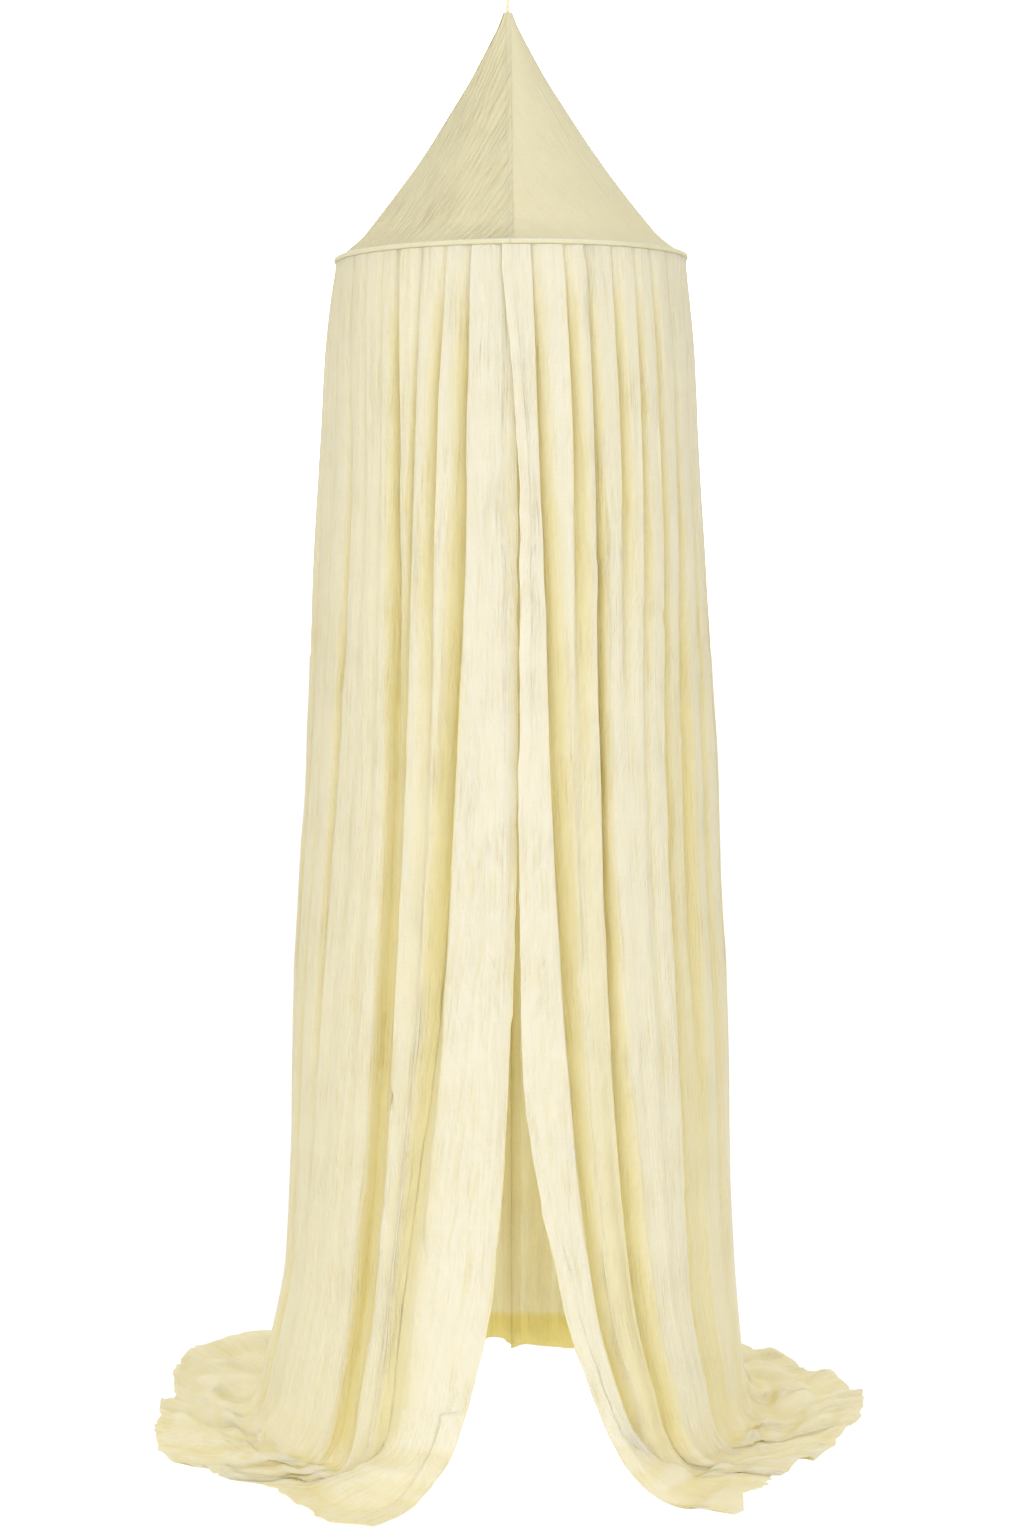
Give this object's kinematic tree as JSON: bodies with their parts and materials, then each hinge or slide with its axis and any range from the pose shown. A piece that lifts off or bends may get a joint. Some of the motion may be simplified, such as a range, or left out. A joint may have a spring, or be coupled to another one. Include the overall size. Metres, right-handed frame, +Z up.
{
  "type": "mosquito net canopy with hoop",
  "caption": "Muslin bed canopy that hangs from a loop: a coned top over a hoop carries pleated curtains that part at the front, drape to the floor and spread out there.",
  "frame": {"origin": "top of the hanging loop, where the ceiling hook holds it", "axes": "+Z up, the front slit faces -Y, +X to the right as seen from the front; the floor is at z = -2.066"},
  "size_m": [1.0343, 0.97, 2.066],
  "materials": {
    "curtain_cloth": "cream cotton muslin, thin, plain weave, fine crinkle",
    "sleeve_cloth": "cream cotton muslin, folded double and stitched",
    "top_cloth": "cream cotton muslin, thin, plain weave",
    "loop_tape": "cream woven cotton tape",
    "hoop_plastic": "plain off-white rod"
  },
  "bodies": {
    "root": {"curtain_left": "curtain_cloth", "curtain_right": "curtain_cloth", "hoop_sleeve": "sleeve_cloth", "hoop": "hoop_plastic", "hanging_loop": "loop_tape", "top_panel_left_front": "top_cloth", "top_panel_right_front": "top_cloth", "top_panel_left_back": "top_cloth", "top_panel_right_back": "top_cloth"}
  },
  "joints": []
}
